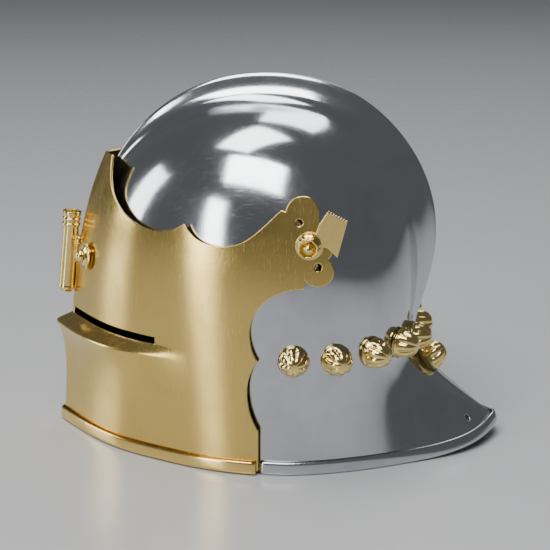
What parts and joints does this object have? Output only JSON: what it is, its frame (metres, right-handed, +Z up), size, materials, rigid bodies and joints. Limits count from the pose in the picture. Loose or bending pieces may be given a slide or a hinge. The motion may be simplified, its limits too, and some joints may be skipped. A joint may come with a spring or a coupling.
{
  "type": "knight helmet",
  "caption": "Visored sallet: combed steel skull with a flared tail, hinged brass visor with sight slits, plume tube, domed lining rivets, padded lining and buckled chin strap.",
  "frame": {"origin": "under the middle of the helmet, on the plane its rim rests on", "axes": "+Z up, -Y towards the visor's front, +X towards the wearer's left"},
  "size_m": [0.2402, 0.3416, 0.2743],
  "materials": {
    "polished_steel": "mirror polished with fine hairline scratches",
    "polished_brass": "polished with fine brushing",
    "cast_brass": "bright turned and cast brass",
    "dark_iron": "dull hammered iron",
    "brown_leather": "waxed leather",
    "linen": "quilted natural linen"
  },
  "bodies": {
    "helmet": {"skull": "polished_steel", "skull_rim": "polished_steel", "pivot_rivet_left": "cast_brass", "pivot_rivet_right": "cast_brass", "pivot_spacer_left": "cast_brass", "pivot_spacer_right": "cast_brass", "pivot_burr_left": "dark_iron", "pivot_burr_right": "dark_iron", "lining_rivet_front_left": "cast_brass", "lining_rivet_front_right": "cast_brass", "lining_rivet_temple_left": "cast_brass", "lining_rivet_temple_right": "cast_brass", "lining_rivet_ear_left": "cast_brass", "lining_rivet_ear_right": "cast_brass", "lining_rivet_back_left": "cast_brass", "lining_rivet_back_right": "cast_brass", "lining_rivet_neck_left": "cast_brass", "lining_rivet_neck_right": "cast_brass", "lining_rivet_nape": "cast_brass", "lining_burr_front_left": "dark_iron", "lining_burr_front_right": "dark_iron", "lining_burr_temple_left": "dark_iron", "lining_burr_temple_right": "dark_iron", "lining_burr_ear_left": "dark_iron", "lining_burr_ear_right": "dark_iron", "lining_burr_back_left": "dark_iron", "lining_burr_back_right": "dark_iron", "lining_burr_neck_left": "dark_iron", "lining_burr_neck_right": "dark_iron", "lining_burr_nape": "dark_iron", "lining_band": "brown_leather", "liner": "linen", "chin_strap_left": "brown_leather", "chin_strap_right": "brown_leather", "strap_buckle": "cast_brass", "strap_keeper": "brown_leather"},
    "visor": {"visor": "polished_brass", "visor_rim": "polished_brass", "pivot_washer_left": "polished_brass", "pivot_washer_right": "polished_brass", "plume_tube": "cast_brass", "plume_bracket": "cast_brass", "plume_rosette_left": "cast_brass", "plume_rosette_right": "cast_brass", "plume_rivet_left": "cast_brass", "plume_rivet_right": "cast_brass"},
    "tongue": {"buckle_tongue": "cast_brass"}
  },
  "joints": [
    {"name": "visor_hinge", "type": "hinge", "parent": "helmet", "child": "visor", "pos_m": [0, 0.035, 0.168], "axis": [-1, 0, 0], "range_deg": [0, 75]},
    {"name": "buckle_tongue_hinge", "type": "hinge", "parent": "helmet", "child": "tongue", "pos_m": [0.03, 0.024, 0.00665], "axis": [0, 1, 0], "range_deg": [0, 110]}
  ]
}
